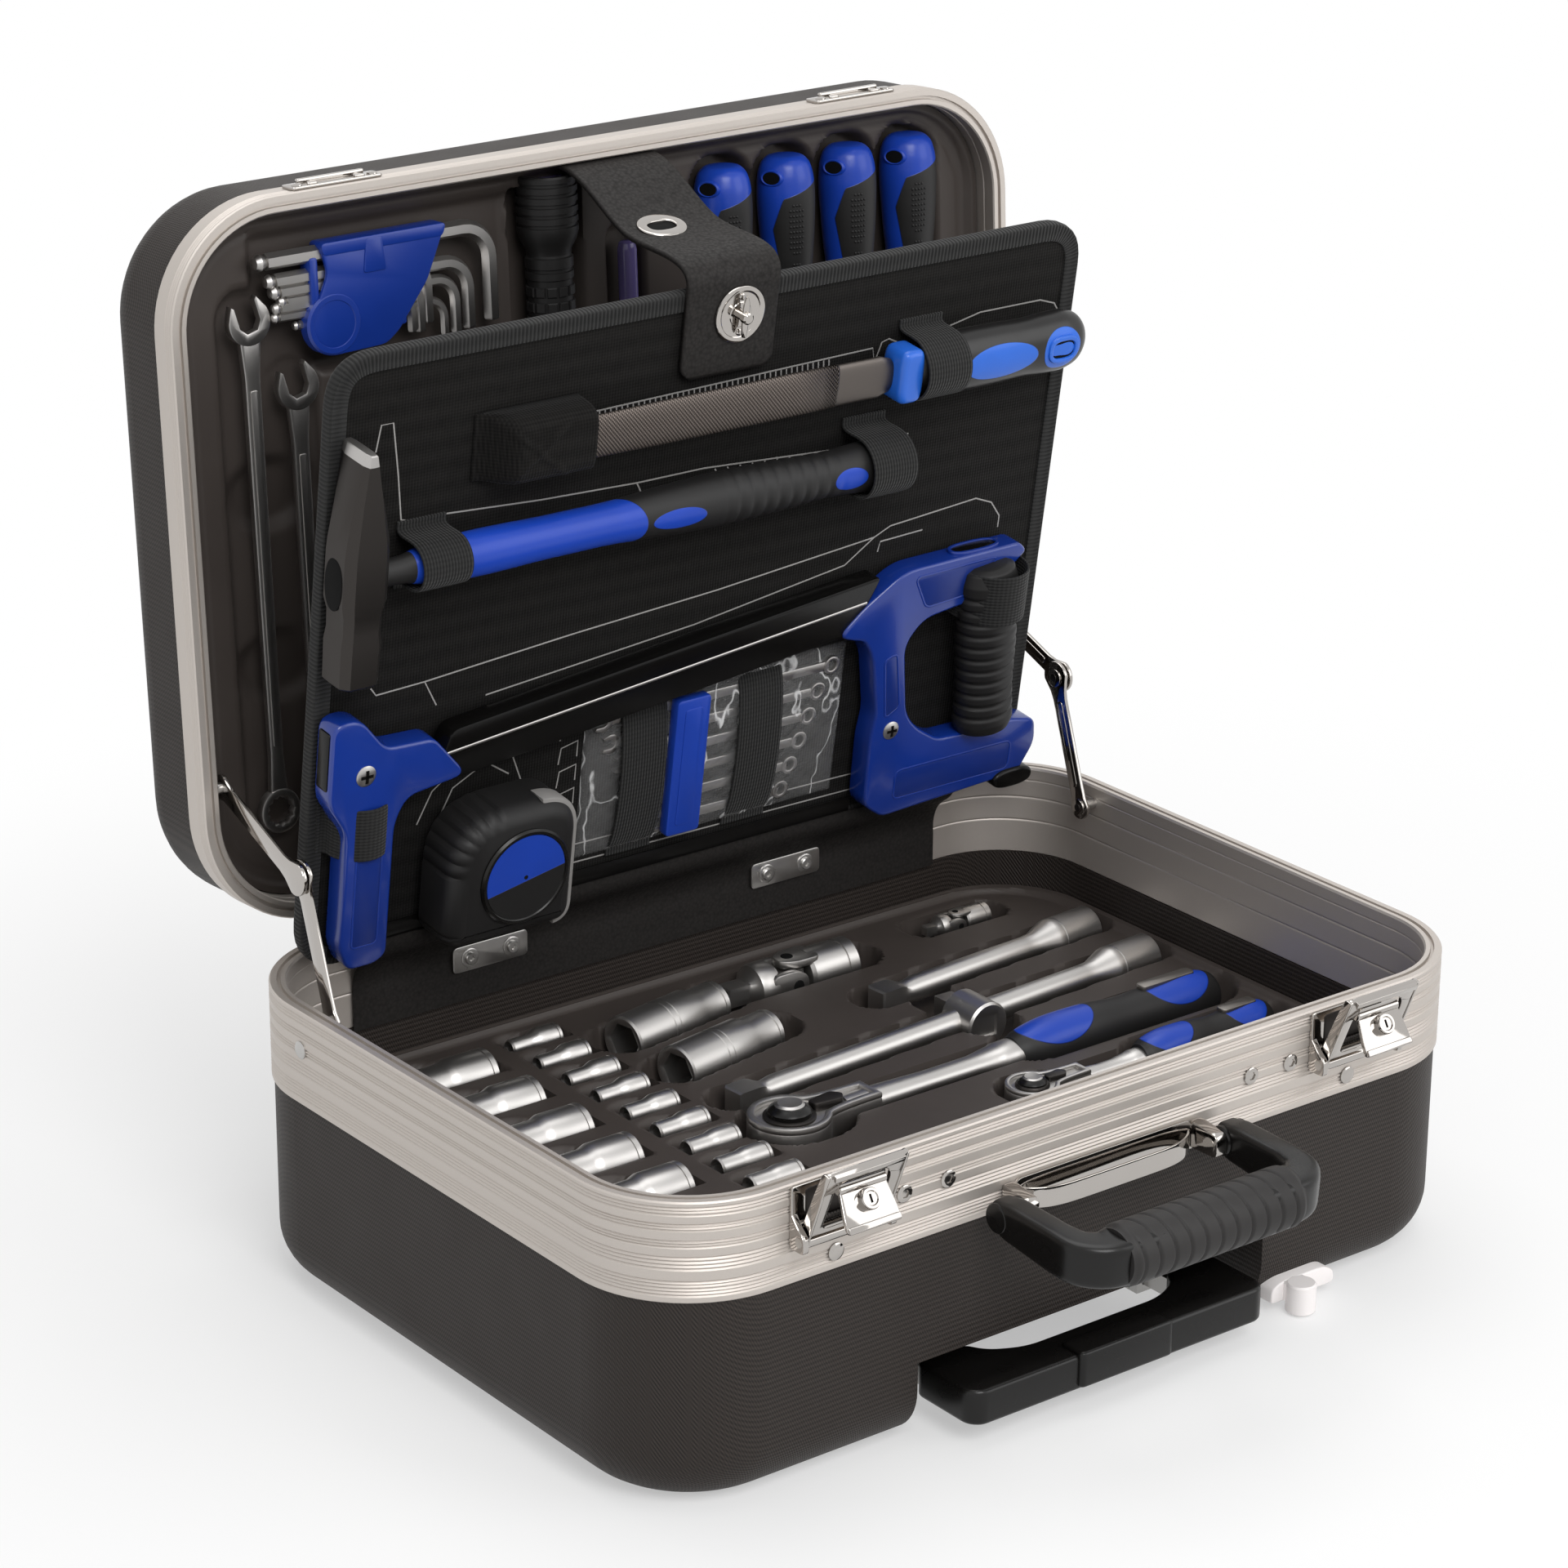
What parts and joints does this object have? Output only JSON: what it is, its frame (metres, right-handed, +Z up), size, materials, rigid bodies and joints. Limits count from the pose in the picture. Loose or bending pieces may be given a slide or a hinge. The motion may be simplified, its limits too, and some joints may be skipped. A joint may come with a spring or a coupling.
{
  "type": "rolling tool case",
  "caption": "Hard tool case with an open lid, drop panel, draw latches, carry handle, pull-out trolley grip and wheels, fitted with hand tools.",
  "frame": {"origin": "centre of the case's bottom face, where it lies on the floor", "axes": "+Z up, front with the latches and handles towards -Y, lid hinge at +Y, +X to the right"},
  "size_m": [0.46, 0.4829, 0.4754],
  "materials": {
    "case_black": "woven grain",
    "frame_aluminium": "satin, grooved",
    "tray_grey": "moulded",
    "tool_chrome": "satin chrome",
    "bright_chrome": "polished",
    "tool_blue": "moulded",
    "grip_black": "soft",
    "handle_black": "moulded",
    "steel_plain": "plain",
    "dark_steel": "oiled",
    "casting_blue": "painted",
    "bar_black": "painted",
    "panel_cloth": "felted",
    "strap_leather": "grained",
    "elastic_black": "ribbed",
    "foot_white": "moulded",
    "wheel_rubber": "plain"
  },
  "bodies": {
    "base": {"base_shell": "case_black", "base_frame": "frame_aluminium", "base_tray": "tray_grey", "sockets_large": "tool_chrome", "sockets_small": "tool_chrome", "deep_sockets": "tool_chrome", "drive_bars": "tool_chrome", "ratchets": "tool_chrome", "ratchet_grips": "grip_black", "latch_plates": "bright_chrome", "handle_plate": "bright_chrome", "trolley_sleeves": "steel_plain", "wheel_axles": "steel_plain", "white_foot": "foot_white", "base_hinges": "steel_plain", "panel_flap": "strap_leather", "clamp_plates": "steel_plain", "stay_base_pins": "steel_plain"},
    "lid": {"lid_shell": "case_black", "lid_frame": "frame_aluminium", "lid_tray": "tray_grey", "latch_keepers": "bright_chrome", "lid_hinges": "steel_plain", "screwdrivers": "tool_blue", "hex_holder": "tool_blue", "hex_keys": "dark_steel", "spanners": "tool_chrome", "torch": "handle_black", "stay_lid_pins": "steel_plain", "strap": "strap_leather"},
    "panel": {"panel_board": "panel_cloth", "panel_binding": "strap_leather", "panel_bands": "elastic_black", "file_blade": "dark_steel", "file_handle": "tool_blue", "hammer_head": "dark_steel", "hammer_handle": "tool_blue", "saw_bar": "bar_black", "saw_castings": "casting_blue", "saw_grip": "grip_black", "tape_measure": "grip_black", "spanner_set": "tool_chrome", "turn_plate": "bright_chrome"},
    "turn_knob": {"turn_knob": "bright_chrome"},
    "carry_handle": {"carry_handle": "handle_black", "handle_sleeve": "grip_black"},
    "trolley_middle": {"trolley_middle": "steel_plain"},
    "trolley_inner": {"trolley_inner": "steel_plain", "trolley_grip": "handle_black"},
    "trolley_button": {"trolley_button": "handle_black"},
    "latch_claw_left": {"latch_claw_left": "bright_chrome"},
    "latch_tongue_left": {"latch_tongue_left": "bright_chrome"},
    "wheel_left": {"wheel_left": "wheel_rubber"},
    "stay_lower_left": {"stay_lower_left": "steel_plain"},
    "stay_upper_left": {"stay_upper_left": "steel_plain"},
    "latch_claw_right": {"latch_claw_right": "bright_chrome"},
    "latch_tongue_right": {"latch_tongue_right": "bright_chrome"},
    "wheel_right": {"wheel_right": "wheel_rubber"},
    "stay_lower_right": {"stay_lower_right": "steel_plain"},
    "stay_upper_right": {"stay_upper_right": "steel_plain"}
  },
  "joints": [
    {"name": "lid_hinge", "type": "hinge", "parent": "base", "child": "lid", "pos_m": [0, 0.1687, 0.1416], "axis": [1, 0, 0], "range_deg": [0, 93.2], "deforming": ["strap"]},
    {"name": "panel_hinge", "type": "hinge", "parent": "base", "child": "panel", "pos_m": [0, 0.1525, 0.136], "axis": [1, 0, 0], "range_deg": [0, 81.9], "deforming": ["strap"]},
    {"name": "stay_lower_left_turn", "type": "hinge", "parent": "base", "child": "stay_lower_left", "pos_m": [-0.215, 0.098, 0.131], "axis": [1, 0, 0], "range_deg": [0, 113.32]},
    {"name": "stay_upper_left_turn", "type": "hinge", "parent": "lid", "child": "stay_upper_left", "pos_m": [-0.218, 0.17725, 0.21564], "axis": [1, 0, 0], "range_deg": [-97.44, 0]},
    {"name": "claw_left_swing", "type": "hinge", "parent": "base", "child": "latch_claw_left", "pos_m": [-0.142, -0.1685, 0.1165], "axis": [1, 0, 0], "range_deg": [-22, 40]},
    {"name": "tongue_left_fold", "type": "hinge", "parent": "latch_claw_left", "child": "latch_tongue_left", "pos_m": [-0.142, -0.17786, 0.13968], "axis": [1, 0, 0], "range_deg": [0, 52]},
    {"name": "wheel_left_spin", "type": "hinge", "parent": "base", "child": "wheel_left", "pos_m": [-0.15, 0.1425, 0.025], "axis": [1, 0, 0], "continuous": true},
    {"name": "stay_lower_right_turn", "type": "hinge", "parent": "base", "child": "stay_lower_right", "pos_m": [0.215, 0.098, 0.131], "axis": [1, 0, 0], "range_deg": [0, 113.32]},
    {"name": "stay_upper_right_turn", "type": "hinge", "parent": "lid", "child": "stay_upper_right", "pos_m": [0.218, 0.17725, 0.21564], "axis": [1, 0, 0], "range_deg": [-97.44, 0]},
    {"name": "claw_right_swing", "type": "hinge", "parent": "base", "child": "latch_claw_right", "pos_m": [0.142, -0.1685, 0.1165], "axis": [1, 0, 0], "range_deg": [-22, 40]},
    {"name": "tongue_right_fold", "type": "hinge", "parent": "latch_claw_right", "child": "latch_tongue_right", "pos_m": [0.142, -0.17786, 0.13968], "axis": [1, 0, 0], "range_deg": [0, 52]},
    {"name": "wheel_right_spin", "type": "hinge", "parent": "base", "child": "wheel_right", "pos_m": [0.15, 0.1425, 0.025], "axis": [1, 0, 0], "continuous": true},
    {"name": "carry_handle_swing", "type": "hinge", "parent": "base", "child": "carry_handle", "pos_m": [0, -0.1752, 0.101], "axis": [1, 0, 0], "range_deg": [-60, 84]},
    {"name": "trolley_lower_slide", "type": "slide", "parent": "base", "child": "trolley_middle", "axis": [0, -1, 0], "range_m": [0, 0.18]},
    {"name": "trolley_upper_slide", "type": "slide", "parent": "trolley_middle", "child": "trolley_inner", "axis": [0, -1, 0], "range_m": [0, 0.18]},
    {"name": "trolley_button_press", "type": "slide", "parent": "trolley_inner", "child": "trolley_button", "axis": [0, 1, 0], "range_m": [0, 0.0035], "stiffness_N_per_m": 400},
    {"name": "turn_knob_turn", "type": "hinge", "parent": "panel", "child": "turn_knob", "pos_m": [0.004, 0.09555, 0.41158], "axis": [0, -0.9888, -0.1495], "range_deg": [0, 90]}
  ],
  "couplings": [
    {"joint": "panel_hinge", "follows": "lid_hinge", "ratio": 0.87339},
    {"joint": "stay_lower_left_turn", "follows": "lid_hinge", "ratio": 1.2105},
    {"joint": "stay_upper_left_turn", "follows": "lid_hinge", "ratio": -1.0402},
    {"joint": "stay_lower_right_turn", "follows": "lid_hinge", "ratio": 1.2105},
    {"joint": "stay_upper_right_turn", "follows": "lid_hinge", "ratio": -1.0402}
  ]
}
